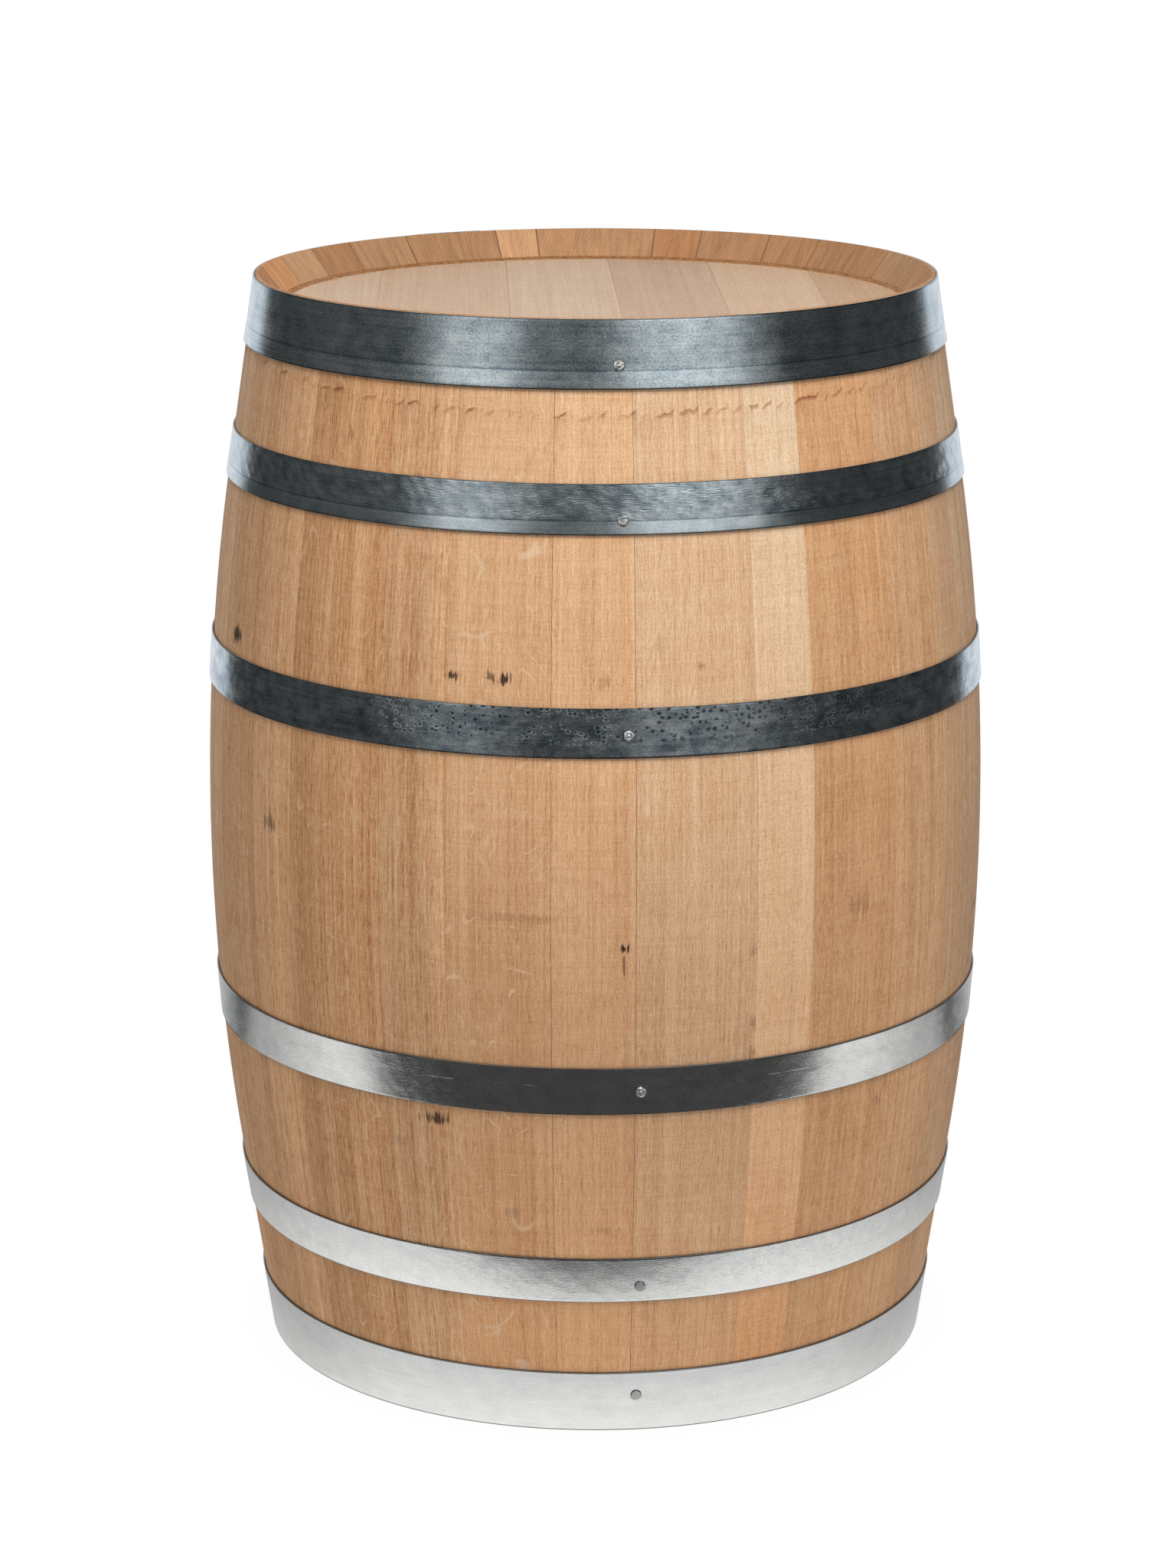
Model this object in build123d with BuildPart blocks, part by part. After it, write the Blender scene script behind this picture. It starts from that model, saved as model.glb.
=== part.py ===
"""Oak aging barrel of about 225 litres, standing on end.

Bent staves with radial joints carry a croze groove at each end. Two heads of dowelled
boards sit in the grooves, six riveted and nailed steel hoops bind the staves, and a tapered
bung closes the hole in the widest stave. Lengths are in millimetres and angles in degrees.
The barrel's axis is Z, it stands on Z = 0 and the bung faces +Y.
"""

import os
from math import asin, atan, cos, degrees, radians, sin, sqrt, tan

from build123d import *

# Body of the barrel: the belly is how far the bilge stands out past the ends, and the bend's
# reach is measured from mid-height to the corner that the bend rounds
barrel_height = 950.0
bilge_diameter = 682.0
belly_depth = 48.5
bend_reach = 156.0
stave_thickness = 25.0
rim_land = 3.0
chime_depth = 23.0

# Widths of the staves as shares of the way round, from the bung stave towards -X
stave_width_shares = (
    131, 45, 109, 80, 64, 71, 77, 71, 65, 65, 68, 102, 62, 89, 70,
    103, 54, 92, 77, 46, 67, 68, 68, 77, 60, 58, 66, 82, 53,
)

# Heads, the tongue round their rim and the croze grooves that hold it
head_set = 2.0
head_thickness = 22.0
tongue_thickness = 6.0
tongue_reach = 8.0
head_bevel_width = 24.0
croze_depth = 5.0
head_clearance = 0.3
head_turn = 1.8
head_seam_shares = (-0.68, -0.27, 0.07, 0.4, 0.715)

# Dowels between the head boards, whittled pegs at shares of each joint's half length
dowel_facets = 8
dowel_diameter = 9.0
dowel_length = 44.0
dowel_clearance = 0.15
dowel_place_shares = (-0.55, 0.5)

# Hoops
head_hoop_width = 56.0
body_hoop_width = 41.0
hoop_thickness = 1.6
hoop_seat_gap = 0.3
hoop_inset = 0.6
upper_quarter_drop = 130.0
upper_bilge_drop = 309.0
lower_bilge_rise = 297.0
lower_quarter_rise = 124.0

# Riveted lap of each hoop: its outer end is square and its other end runs down on to the hoop
lap_turn = 117.0
lap_length = 60.0
lap_run_length = 24.0
rivet_facets = 8
rivet_pair_width = 28.0
rivet_head_diameter = 11.0
rivet_head_height = 2.4
rivet_head_taper = 40.0
rivet_shank_diameter = 5.0
rivet_clearance = 0.1

# Forged nails through the hoops into the staves, near the front and twice more round each hoop
nail_facets = 8
nail_head_diameter = 10.0
nail_head_height = 1.8
nail_head_taper = 35.0
nail_shank_width = 3.0
nail_length = 20.0
nail_clearance = 0.1
nail_turns = (-86.4, -86.0, -85.4, -83.6, -83.2, -83.4)
nail_drop_shares = (0.16, 0.22, 0.05, 0.01, 0.14, -0.11)
nail_steps = (0.0, 115.0, 240.0)

# Bung and its tapered hole at the bilge
bung_turn = 90.0
bung_hole_diameter = 50.0
bung_taper = 4.5
bung_length = 46.0
bung_stand = 6.0
bung_chamfer = 2.0
bung_clearance = 0.3

# Cutters run this far past the faces that they cut
overrun = 5.0

# Outer face of the staves: straight ends that lean in, joined by one tangent arc
bilge_radius = bilge_diameter / 2
end_radius = bilge_radius - belly_depth
mid_height = barrel_height / 2
end_lean = atan((bilge_radius - end_radius) / (mid_height - bend_reach))
bend_radius = bend_reach / tan(end_lean / 2)
straight_height = mid_height - bend_reach * (1 + cos(end_lean))


def skin_radius(height, depth=0.0):
    """Radius, at a height, of the surface that lies this deep inside the staves' outer face."""
    rise = min(height, barrel_height - height)
    if rise < straight_height + depth * sin(end_lean):
        return end_radius + rise * tan(end_lean) - depth / cos(end_lean)
    bow = sqrt((bend_radius - depth) ** 2 - (mid_height - rise) ** 2)
    return bilge_radius - bend_radius + bow


def skin_lean(height):
    """Angle in radians that the outer face leans outwards going up, negative above mid-height."""
    reach = mid_height - height
    lean = min(end_lean, asin(min(abs(reach) / bend_radius, sin(end_lean))))
    return lean if reach > 0 else -lean


def radial_plane(turn):
    """Upright plane through the barrel's axis, with x outwards at this turn and y up."""
    outward = Vector(cos(radians(turn)), sin(radians(turn)), 0)
    return Plane(origin=(0, 0, 0), x_dir=outward, z_dir=(outward.Y, -outward.X, 0))


def skin_point(height, stand):
    """Radius and height of the point that stands this far off the outer face."""
    lean = skin_lean(height)
    return skin_radius(height) + stand * cos(lean), height - stand * sin(lean)


def skin_plane(turn, height, stand, drop=0.0):
    """Plane along the outer face at a turn and height, z outwards, this far off it and down it."""
    lean = skin_lean(height)
    face = radial_plane(turn)
    outward = face.x_dir * cos(lean) - face.y_dir * sin(lean)
    downward = outward.cross(face.z_dir)
    return Plane(
        origin=face.from_local_coords(Vector(*skin_point(height, stand))) + downward * drop,
        x_dir=face.z_dir,
        z_dir=outward,
    )


# Levels of the upper end, which the lower end mirrors
chime_height = barrel_height - chime_depth
head_height = chime_height - head_set
tongue_height = head_height - tongue_thickness
croze_radius = skin_radius(head_height - tongue_thickness / 2, stave_thickness) + croze_depth
head_radius = croze_radius - head_clearance

# Hoops from the top down: their names, the heights of their middles and their widths
head_hoop_rise = hoop_inset + head_hoop_width / 2
body_hoop_half = body_hoop_width / 2
hoop_names = (
    "upper_head_hoop",
    "upper_quarter_hoop",
    "upper_bilge_hoop",
    "lower_bilge_hoop",
    "lower_quarter_hoop",
    "lower_head_hoop",
)
hoop_heights = (
    barrel_height - head_hoop_rise,
    barrel_height - upper_quarter_drop - body_hoop_half,
    barrel_height - upper_bilge_drop - body_hoop_half,
    lower_bilge_rise + body_hoop_half,
    lower_quarter_rise + body_hoop_half,
    head_hoop_rise,
)
hoop_widths = (
    head_hoop_width,
    body_hoop_width,
    body_hoop_width,
    body_hoop_width,
    body_hoop_width,
    head_hoop_width,
)
hoop_face = hoop_seat_gap + hoop_thickness
lap_face = hoop_face + hoop_thickness
nail_hole_width = nail_shank_width + 2 * nail_clearance

# Where each hoop's nails go, as turns and as planes on the hoop's outer face
full_turn = 360.0
hoop_nail_turns = [[turn + step for step in nail_steps] for turn in nail_turns]
hoop_nail_planes = [
    [skin_plane(turn, height, hoop_face, width * share) for turn in turns]
    for turns, height, width, share in zip(
        hoop_nail_turns, hoop_heights, hoop_widths, nail_drop_shares
    )
]

# Bung axis and the radius of its hole, which narrows towards the barrel's middle
bung_axis = Axis((0, 0, mid_height), radial_plane(bung_turn).x_dir)
bung_narrowing = tan(radians(bung_taper))


def bung_hole_radius(reach):
    """Radius of the tapered bung hole at this distance from the barrel's axis."""
    return bung_hole_diameter / 2 + (reach - bilge_radius) * bung_narrowing


os.makedirs("parts", exist_ok=True)

# Section of a stave: outer face, square rim, bevelled chime, croze, inner face, x outwards and y up
inner_straight = straight_height + stave_thickness * sin(end_lean)
with BuildSketch() as stave_section:
    with BuildLine():
        upper_end = Polyline(
            (skin_radius(straight_height), barrel_height - straight_height),
            (end_radius, barrel_height),
            (end_radius - rim_land, barrel_height),
            (skin_radius(chime_height, stave_thickness), chime_height),
            (croze_radius, head_height + head_clearance),
            (croze_radius, tongue_height),
            (skin_radius(tongue_height, stave_thickness), tongue_height),
            (skin_radius(inner_straight, stave_thickness), barrel_height - inner_straight),
        )
        lower_end = mirror(upper_end, about=Plane.XZ.offset(-mid_height))
        ThreePointArc(upper_end @ 0, (bilge_radius, mid_height), lower_end @ 0)
        ThreePointArc(
            upper_end @ 1, (bilge_radius - stave_thickness, mid_height), lower_end @ 1
        )
    make_face()

# Staves: the section turned by each stave's own width, so that the joints are radial
stave_widths = [full_turn * share / sum(stave_width_shares) for share in stave_width_shares]
stave_start = bung_turn - stave_widths[0] / 2
for number, width in enumerate(stave_widths, start=1):
    name = "bung_stave" if number == 1 else f"stave_{number:02d}"
    nail_planes = [
        plane
        for turns, planes in zip(hoop_nail_turns, hoop_nail_planes)
        for turn, plane in zip(turns, planes)
        if (turn - stave_start) % full_turn < width
    ]
    with BuildPart() as stave:
        with BuildSketch(radial_plane(stave_start)):
            add(stave_section.sketch)
        revolve(axis=Axis.Z, revolution_arc=width)
        if nail_planes:
            with BuildSketch(*nail_planes):
                Rectangle(nail_hole_width, nail_hole_width)
            extrude(amount=-nail_length - nail_clearance, mode=Mode.SUBTRACT)
        if number == 1:
            inside = bilge_radius - stave_thickness - overrun
            outside = bilge_radius + overrun
            with BuildSketch(radial_plane(bung_turn)):
                with BuildLine():
                    Polyline(
                        (inside, mid_height),
                        (inside, mid_height + bung_hole_radius(inside)),
                        (outside, mid_height + bung_hole_radius(outside)),
                        (outside, mid_height),
                        close=True,
                    )
                make_face()
            revolve(axis=bung_axis, mode=Mode.SUBTRACT)
    stave.part.label = name
    export_step(stave.part, f"parts/{name}.step")
    stave_start += width

# Bung: a turned taper with a chamfered outer end
bung_outside = bilge_radius + bung_stand
bung_inside = bung_outside - bung_length
with BuildPart() as bung:
    with BuildSketch(radial_plane(bung_turn)):
        with BuildLine():
            Polyline(
                (bung_inside, mid_height),
                (bung_inside, mid_height + bung_hole_radius(bung_inside) - bung_clearance),
                (bung_outside, mid_height + bung_hole_radius(bung_outside) - bung_clearance),
                (bung_outside, mid_height),
                close=True,
            )
        make_face()
    revolve(axis=bung_axis)
    outer_rim = bung.faces().sort_by(bung_axis)[-1].edges()
    chamfer(outer_rim, bung_chamfer)
bung.part.label = "bung"
export_step(bung.part, "parts/bung.step")

# Dowels of the upper head: planes across each joint, z along the dowel
head_plane = Plane.XY.offset(head_height - head_thickness / 2).rotated((0, 0, head_turn))
head_seams = [share * head_radius for share in head_seam_shares]
seam_dowel_planes = [
    [
        Plane(
            origin=head_plane.from_local_coords(
                Vector(seam, share * sqrt(head_radius**2 - seam**2), 0)
            ),
            x_dir=head_plane.y_dir,
            z_dir=head_plane.x_dir,
        )
        for share in dowel_place_shares
    ]
    for seam in head_seams
]
with BuildPart() as upper_dowels:
    with BuildSketch(*[plane for planes in seam_dowel_planes for plane in planes]):
        RegularPolygon(dowel_diameter / 2, dowel_facets)
    extrude(amount=dowel_length / 2, both=True)

# Head boards: a disc with a tongue and a bevelled inner edge, cut into boards at its seams
board_edges = [-head_radius - overrun, *head_seams, head_radius + overrun]
for number, (left, right) in enumerate(zip(board_edges, board_edges[1:]), start=1):
    with BuildPart() as upper_board:
        with BuildSketch(Plane.XZ):
            with BuildLine():
                Polyline(
                    (0, head_height),
                    (head_radius, head_height),
                    (head_radius, tongue_height),
                    (head_radius - tongue_reach, tongue_height),
                    (head_radius - tongue_reach - head_bevel_width, head_height - head_thickness),
                    (0, head_height - head_thickness),
                    close=True,
                )
            make_face()
        revolve(axis=Axis.Z)
        for seam, side in ((left, Keep.TOP), (right, Keep.BOTTOM)):
            seam_place = head_plane.from_local_coords(Vector(seam, 0, 0))
            split(bisect_by=Plane(origin=seam_place, z_dir=head_plane.x_dir), keep=side)
        for seam, planes in zip(head_seams, seam_dowel_planes):
            if seam in (left, right):
                with BuildSketch(*planes):
                    RegularPolygon(dowel_diameter / 2 + dowel_clearance, dowel_facets)
                extrude(
                    amount=dowel_length / 2 + dowel_clearance, both=True, mode=Mode.SUBTRACT
                )
    with BuildPart() as lower_board:
        mirror(upper_board.part, about=Plane.XY.offset(mid_height))
    for board, name in ((upper_board, "top_head_board"), (lower_board, "bottom_head_board")):
        board.part.label = f"{name}_{number}"
        export_step(board.part, f"parts/{name}_{number}.step")

with BuildPart() as lower_dowels:
    mirror(upper_dowels.part, about=Plane.XY.offset(mid_height))
upper_dowels.part.label = "top_head_dowels"
lower_dowels.part.label = "bottom_head_dowels"
export_step(upper_dowels.part, "parts/top_head_dowels.step")
export_step(lower_dowels.part, "parts/bottom_head_dowels.step")

# Hoops: a strip that follows the lean of the staves, lapped over itself and riveted
hoop_rivet_planes = []
for name, height, width, nail_planes in zip(
    hoop_names, hoop_heights, hoop_widths, hoop_nail_planes
):
    lean = degrees(skin_lean(height))
    turn_per_length = degrees(1 / skin_radius(height))
    lap_end = lap_turn + lap_length / 2 * turn_per_length
    run_end = lap_end + lap_run_length * turn_per_length
    run_foot = skin_plane(run_end, height, hoop_face)
    run_top = skin_plane(lap_end, height, lap_face)
    run_along = run_foot.origin - run_top.origin
    run_plane = Plane(origin=run_top.origin, z_dir=run_along.cross(run_top.y_dir))
    rivet_half = rivet_pair_width / 2 * turn_per_length
    rivet_planes = [
        skin_plane(turn, height, lap_face)
        for turn in (lap_turn - rivet_half, lap_turn + rivet_half)
    ]
    hoop_rivet_planes += rivet_planes
    with BuildPart() as lap:
        with BuildSketch(radial_plane(lap_turn - lap_length / 2 * turn_per_length)):
            with Locations(skin_point(height, hoop_face)):
                Rectangle(hoop_thickness, width, -lean, align=(Align.MIN, Align.CENTER))
        revolve(axis=Axis.Z, revolution_arc=(lap_length + lap_run_length) * turn_per_length)
        split(bisect_by=run_plane, keep=Keep.BOTTOM)
    with BuildPart() as hoop:
        with BuildSketch(radial_plane(lap_turn)):
            with Locations(skin_point(height, hoop_seat_gap)):
                Rectangle(hoop_thickness, width, -lean, align=(Align.MIN, Align.CENTER))
        revolve(axis=Axis.Z)
        add(lap.part)
        with BuildSketch(*rivet_planes):
            RegularPolygon(rivet_shank_diameter / 2 + rivet_clearance, rivet_facets)
        extrude(amount=-lap_face - overrun, mode=Mode.SUBTRACT)
        with BuildSketch(*nail_planes):
            Rectangle(nail_hole_width, nail_hole_width)
        extrude(amount=-hoop_face - overrun, mode=Mode.SUBTRACT)
    hoop.part.label = name
    export_step(hoop.part, f"parts/{name}.step")

# Rivets: low faceted heads on the laps, with shanks that end flush with the hoops' inner faces
with BuildPart() as hoop_rivets:
    with BuildSketch(*hoop_rivet_planes):
        RegularPolygon(rivet_head_diameter / 2, rivet_facets)
    extrude(amount=rivet_head_height, taper=rivet_head_taper)
    with BuildSketch(*hoop_rivet_planes):
        RegularPolygon(rivet_shank_diameter / 2, rivet_facets)
    extrude(amount=-2 * hoop_thickness)
hoop_rivets.part.label = "hoop_rivets"
export_step(hoop_rivets.part, "parts/hoop_rivets.step")

# Nails: flat faceted heads on the hoops, with square shanks in the staves
all_nail_planes = [plane for planes in hoop_nail_planes for plane in planes]
with BuildPart() as hoop_nails:
    with BuildSketch(*all_nail_planes):
        RegularPolygon(nail_head_diameter / 2, nail_facets)
    extrude(amount=nail_head_height, taper=nail_head_taper)
    with BuildSketch(*all_nail_planes):
        Rectangle(nail_shank_width, nail_shank_width)
    extrude(amount=-nail_length)
hoop_nails.part.label = "hoop_nails"
export_step(hoop_nails.part, "parts/hoop_nails.step")
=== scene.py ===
import bmesh
import bpy
import numpy as np
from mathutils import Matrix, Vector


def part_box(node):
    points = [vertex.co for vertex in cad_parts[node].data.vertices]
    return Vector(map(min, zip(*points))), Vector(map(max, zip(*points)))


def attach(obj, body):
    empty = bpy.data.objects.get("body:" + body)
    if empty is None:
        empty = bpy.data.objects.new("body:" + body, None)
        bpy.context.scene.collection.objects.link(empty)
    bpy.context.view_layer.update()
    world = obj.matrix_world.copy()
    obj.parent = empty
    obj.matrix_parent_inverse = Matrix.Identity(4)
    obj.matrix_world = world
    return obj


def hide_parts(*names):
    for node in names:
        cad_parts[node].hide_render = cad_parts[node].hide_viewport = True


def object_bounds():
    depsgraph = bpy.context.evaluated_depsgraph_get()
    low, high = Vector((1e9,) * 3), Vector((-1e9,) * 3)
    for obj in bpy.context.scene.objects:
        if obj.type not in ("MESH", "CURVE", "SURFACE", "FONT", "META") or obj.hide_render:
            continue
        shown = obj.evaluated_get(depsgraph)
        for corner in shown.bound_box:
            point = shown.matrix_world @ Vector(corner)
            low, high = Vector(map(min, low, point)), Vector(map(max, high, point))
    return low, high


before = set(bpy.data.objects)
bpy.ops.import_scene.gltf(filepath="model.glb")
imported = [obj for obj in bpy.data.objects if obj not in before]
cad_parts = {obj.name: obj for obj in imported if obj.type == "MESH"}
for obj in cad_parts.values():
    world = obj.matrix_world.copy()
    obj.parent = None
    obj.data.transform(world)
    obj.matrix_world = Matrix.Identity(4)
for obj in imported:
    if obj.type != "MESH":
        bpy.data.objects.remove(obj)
cad_low, cad_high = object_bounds()


# Oak figure, shared by the staves, heads and bung: fibres, growth bands, dark ticks and pores,
# pale rays that wander over them, and the faint lines that the plane leaves across the wood.
# Noise is given as waves to the metre across the grain, along it and into the wood.
board_step = (3.1, 7.3, 1.9)
tick_lean = -0.15
ray_half_width = 0.06
shade_powers = {"Red": 0.72, "Green": 1.1, "Blue": 1.45}


def fill(node, inputs):
    """Links or fills a node's inputs, by name or number."""
    for name, source in inputs.items():
        if isinstance(source, bpy.types.NodeSocket):
            source.id_data.links.new(source, node.inputs[name])
        else:
            node.inputs[name].default_value = source


def add_node(tree, kind, inputs=None, **settings):
    """The outputs of a new shader node, with its settings made and its inputs linked or filled."""
    node = tree.nodes.new("ShaderNode" + kind)
    for name, value in settings.items():
        setattr(node, name, value)
    fill(node, inputs or {})
    return node.outputs


def derive(kind, inputs, output=0, **settings):
    """One output of a new node that other nodes feed, in the tree where they are."""
    tree = next(v.id_data for v in inputs.values() if isinstance(v, bpy.types.NodeSocket))
    return add_node(tree, kind, inputs, **settings)[output]


def calc(operation, *values, clamp=False):
    """The output of a Math node."""
    return derive("Math", dict(enumerate(values)), operation=operation, use_clamp=clamp)


def times(first, *others):
    """The product of values."""
    for other in others:
        first = calc("MULTIPLY", first, other)
    return first


def plus(base, value, share):
    """A base plus a share of a value."""
    return calc("MULTIPLY_ADD", value, share, base)


def swing(layer):
    """A layer of noise, measured from its middle."""
    return calc("SUBTRACT", layer, 0.5)


def layered(base, layers):
    """A base plus a share of the swing of each layer of noise."""
    for layer, share in layers:
        base = plus(base, swing(layer), share)
    return base


def apart(first, second):
    """How far two values are apart."""
    return calc("ABSOLUTE", calc("SUBTRACT", first, second))


def ramp(value, low, high, start=0.0, end=1.0):
    """A value carried smoothly from start to end as it goes from low to high."""
    inputs = {"Value": value, "From Min": low, "From Max": high, "To Min": start, "To Max": end}
    return derive("MapRange", inputs, interpolation_type="SMOOTHSTEP")


def vector(operation, *values, output=0):
    """An output of a Vector Math node."""
    return derive("VectorMath", dict(enumerate(values)), output, operation=operation)


def parts(place):
    """The three parts of a place."""
    return add_node(place.id_data, "SeparateXYZ", {0: place})


def shifted(place, seed, step):
    """A place moved by a step for each unit of a seed, so that like pieces differ."""
    return vector("ADD", place, derive("VectorMath", {0: step, "Scale": seed}, operation="SCALE"))


def noise(place, across, along, depth, detail, roughness=0.55):
    """Noise with this many waves to the metre in each direction of a place."""
    scaled = derive("Mapping", {"Vector": place, "Scale": (across, along, depth)})
    inputs = {"Vector": scaled, "Scale": 1.0, "Detail": detail, "Roughness": roughness}
    return derive("TexNoise", inputs)


def new_group(name, inputs, outputs):
    """An empty node group, the sockets that bring values in, and the node that gives them out.

    Sockets are listed as name:kind, and they are floats where no kind is given.
    """
    group = bpy.data.node_groups.new(name, "ShaderNodeTree")
    for way, sockets in (("INPUT", inputs), ("OUTPUT", outputs)):
        for socket in sockets.split():
            socket, _, kind = socket.partition(":")
            kind = "NodeSocket" + (kind or "Float")
            group.interface.new_socket(socket, in_out=way, socket_type=kind)
    return group, group.nodes.new("NodeGroupInput").outputs, group.nodes.new("NodeGroupOutput")


def use_group(group, place, *values):
    """The outputs of a node group at a place, with its other values in the order of its sockets."""
    return add_node(place.id_data, "Group", dict(enumerate((place, *values))), node_tree=group)


oak_figure, figure_in, figure_out = new_group(
    "oak figure", "Place:Vector Seed Contrast Rays Planing", "Shade:Color Rays Height"
)
board_place = shifted(figure_in["Place"], figure_in["Seed"], board_step)
fibres = noise(board_place, 1100, 75, 60, 2, 0.6)
flecks = noise(board_place, 560, 600, 60, 1)
long_lines = noise(board_place, 430, 4, 60, 2, 0.65)
bands = noise(board_place, 150, 1.6, 20, 3)
streaks = noise(board_place, 70, 1.3, 8, 3)
saw_lines = noise(board_place, 14, 420, 20, 2, 0.6)
clouds = noise(board_place, 13, 24, 5, 3)
board_across, board_along, board_depth = parts(board_place)
tick_across = plus(board_across, board_along, tick_lean)
tick_place = derive("CombineXYZ", {0: tick_across, 1: board_along, 2: board_depth})
ticks = ramp(noise(tick_place, 520, 44, 60, 2, 0.6), 0.55, 0.68)
pores = times(
    ramp(noise(board_place, 1400, 120, 200, 1), 0.56, 0.68),
    ramp(bands, 0.38, 0.58, 0.3, 1.0),
)
rays = 0.0
for across, along, levels in ((13, 8, 6.0), (34, 26, 4.0)):
    level = calc("FRACT", times(noise(board_place, across, along, 0, 0), levels))
    patches = noise(board_place, across * 1.4, along * 1.7, 3, 2)
    line = ramp(apart(level, 0.5), ray_half_width, ray_half_width / 3)
    rays = calc("MAXIMUM", times(line, ramp(patches, 0.53, 0.62)), rays)
plane_tone = times(swing(saw_lines), figure_in["Planing"])
grain_tone = layered(
    plus(times(ticks, -0.12), pores, -0.16),
    ((fibres, 0.85), (long_lines, 0.7), (streaks, 0.4), (bands, 0.2)),
)
shade = layered(
    plus(1.04, grain_tone, figure_in["Contrast"]), ((bands, 0.1), (clouds, 0.2), (flecks, 0.55))
)
shade = calc("ADD", shade, plane_tone)
shade_parts = {part: calc("POWER", shade, power) for part, power in shade_powers.items()}
fill(
    figure_out,
    {
        "Shade": derive("CombineColor", shade_parts),
        "Rays": times(rays, figure_in["Rays"]),
        "Height": calc("ADD", plane_tone, plus(plus(fibres, pores, -0.6), ticks, -0.5)),
    },
)

# Stains on the staves: iron and sap have soaked into the fibres in short upright ticks, which
# thin out from the middle of each stain
stain_mark, stain_in, stain_out = new_group(
    "stain mark", "Place:Vector Centre:Vector Size:Vector Strength", "Mask"
)
from_centre = vector("SUBTRACT", stain_in["Place"], stain_in["Centre"])
stain_reach = vector("LENGTH", vector("DIVIDE", from_centre, stain_in["Size"]), output=1)
stain_edge = plus(-1.2, noise(stain_in["Place"], 420, 30, 0, 3, 0.75), 4.2)
stain_mask = ramp(calc("SUBTRACT", stain_edge, stain_reach), 0.0, 0.5)
fill(stain_out, {"Mask": times(stain_mask, stain_in["Strength"])})


# Staves: split oak boards, jointed to radial edges, bent over a fire and planed round together.
# Nothing but the hoops holds them. Each end has a bevelled chime and a croze groove for the head.
barrel_height = cad_high.z
mid_height = barrel_height / 2
bilge_radius = 0.341
belly_depth = 0.0485
bend_reach = 0.156
stave_thickness = 0.025
rim_land = 0.003
chime_depth = 0.023
croze_top_depth = 0.0247
tongue_depth = 0.031
croze_radius = 0.27647
front_turn = np.radians(-90)
joint_gap = 0.00005
stave_rows = 77
stave_column_pitch = 0.006
arris_steps = np.array([0.0, 0.12, 0.35, 0.65, 1.0])
end_radius = bilge_radius - belly_depth
end_lean = np.arctan(belly_depth / (mid_height - bend_reach))
bend_radius = bend_reach / np.tan(end_lean / 2)
straight_height = mid_height - bend_reach * (1 + np.cos(end_lean))


def linear(red, green, blue):
    """The linear colour of an sRGB colour given in steps of 255."""
    share = np.array([red, green, blue]) / 255
    return (*np.where(share <= 0.04045, share / 12.92, ((share + 0.055) / 1.055) ** 2.4), 1.0)


def tint(factor, first, second, blend="MIX"):
    """The second colour laid over the first by a factor."""
    inputs = {0: factor, 6: first, 7: second}
    return derive("Mix", inputs, 2, data_type="RGBA", blend_type=blend)


def attribute(tree, name, output):
    """What the points of a piece carry under a name."""
    return add_node(tree, "Attribute", attribute_name=name)[output]


def new_material(name):
    """A node material, its tree and its Principled shader."""
    material = bpy.data.materials.new(name)
    material.use_nodes = True
    return material, material.node_tree, material.node_tree.nodes["Principled BSDF"]


def finish(shader, colour, roughness, height, bump, reach, specular=0.5, metallic=0.0):
    """Gives a Principled shader its colour, roughness, gloss, and bumps from a height."""
    normal = derive("Bump", {"Height": height, "Strength": bump, "Distance": reach})
    fill(shader, {"Base Color": colour, "Roughness": roughness, "Normal": normal})
    fill(shader, {"Specular IOR Level": specular, "Metallic": metallic})


# Outer and joint faces of the staves: planed oak with each stave's own colour, darker chatter
# marks where the blade met the wood below the upper hoop, each with a painted shadow trailing
# below it, and stains. Marks are placed by their turn from the front in degrees and their height.
chatter_height = 0.8675
chatter_climb = 0.1
chatter_pitch = 0.018
chatter_wander = 4.0
chatter_slant = 0.007
chatter_scatter = 0.004
chatter_rag = 0.006
chatter_half_height = 0.0018
chatter_line_pitch = 0.0016
chatter_line_sway = 0.006
chatter_shadow_reach = 0.026
chatter_and_shadow_colour = linear(166, 114, 72)
joint_dark_start = 0.00008
joint_dark_full = 0.0004
joint_colour = linear(128, 88, 58)
ray_colour = linear(240, 212, 178)
stave_planing = 0.26
stain_colour = linear(52, 34, 24)
sap_colour = linear(120, 72, 44)
faint_stain = 0.5
stain_depth_reach = 0.02
stain_places = (
    (-65.8, 0.659, 0.013, 0.009, 0.95),
    (-20.3, 0.663, 0.007, 0.005, 0.9),
    (-14.8, 0.664, 0.006, 0.005, 0.7),
    (-12.6, 0.663, 0.007, 0.006, 0.95),
    (-53.8, 0.511, 0.012, 0.01, 0.55),
    (4.0, 0.441, 0.0055, 0.0045, 1.0),
    (4.0, 0.428, 0.002, 0.012, 0.6),
    (-23.3, 0.284, 0.014, 0.007, 0.9),
    (-29.4, 0.258, 0.008, 0.007, 0.22),
    (40.2, 0.456, 0.016, 0.012, 0.3),
    (22.4, 0.431, 0.004, 0.008, 0.35),
    (22.6, 0.37, 0.004, 0.009, 0.35),
    (22.8, 0.343, 0.005, 0.008, 0.4),
    (-10.1, 0.4655, 0.045, 0.005, 0.24),
    (-12.3, 0.204, 0.01, 0.006, 0.25),
    (1.4, 0.191, 0.018, 0.004, 0.2),
    (15.1, 0.673, 0.004, 0.004, 0.4),
    (1.3, 0.663, 0.008, 0.008, 0.25),
    (8.9, 0.693, 0.003, 0.012, 0.2),
    (46.2, 0.275, 0.005, 0.008, 0.4),
    (78.0, 0.402, 0.016, 0.006, 0.35),
    (-40.0, 0.847, 0.005, 0.009, 0.45),
)
stave_oak, stave_tree, stave_shader = new_material("stave oak")
grain_place = attribute(stave_tree, "grain", "Vector")
grain_around, grain_height, grain_depth = parts(grain_place)
stave_share = attribute(stave_tree, "stave_share", "Fac")
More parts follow.
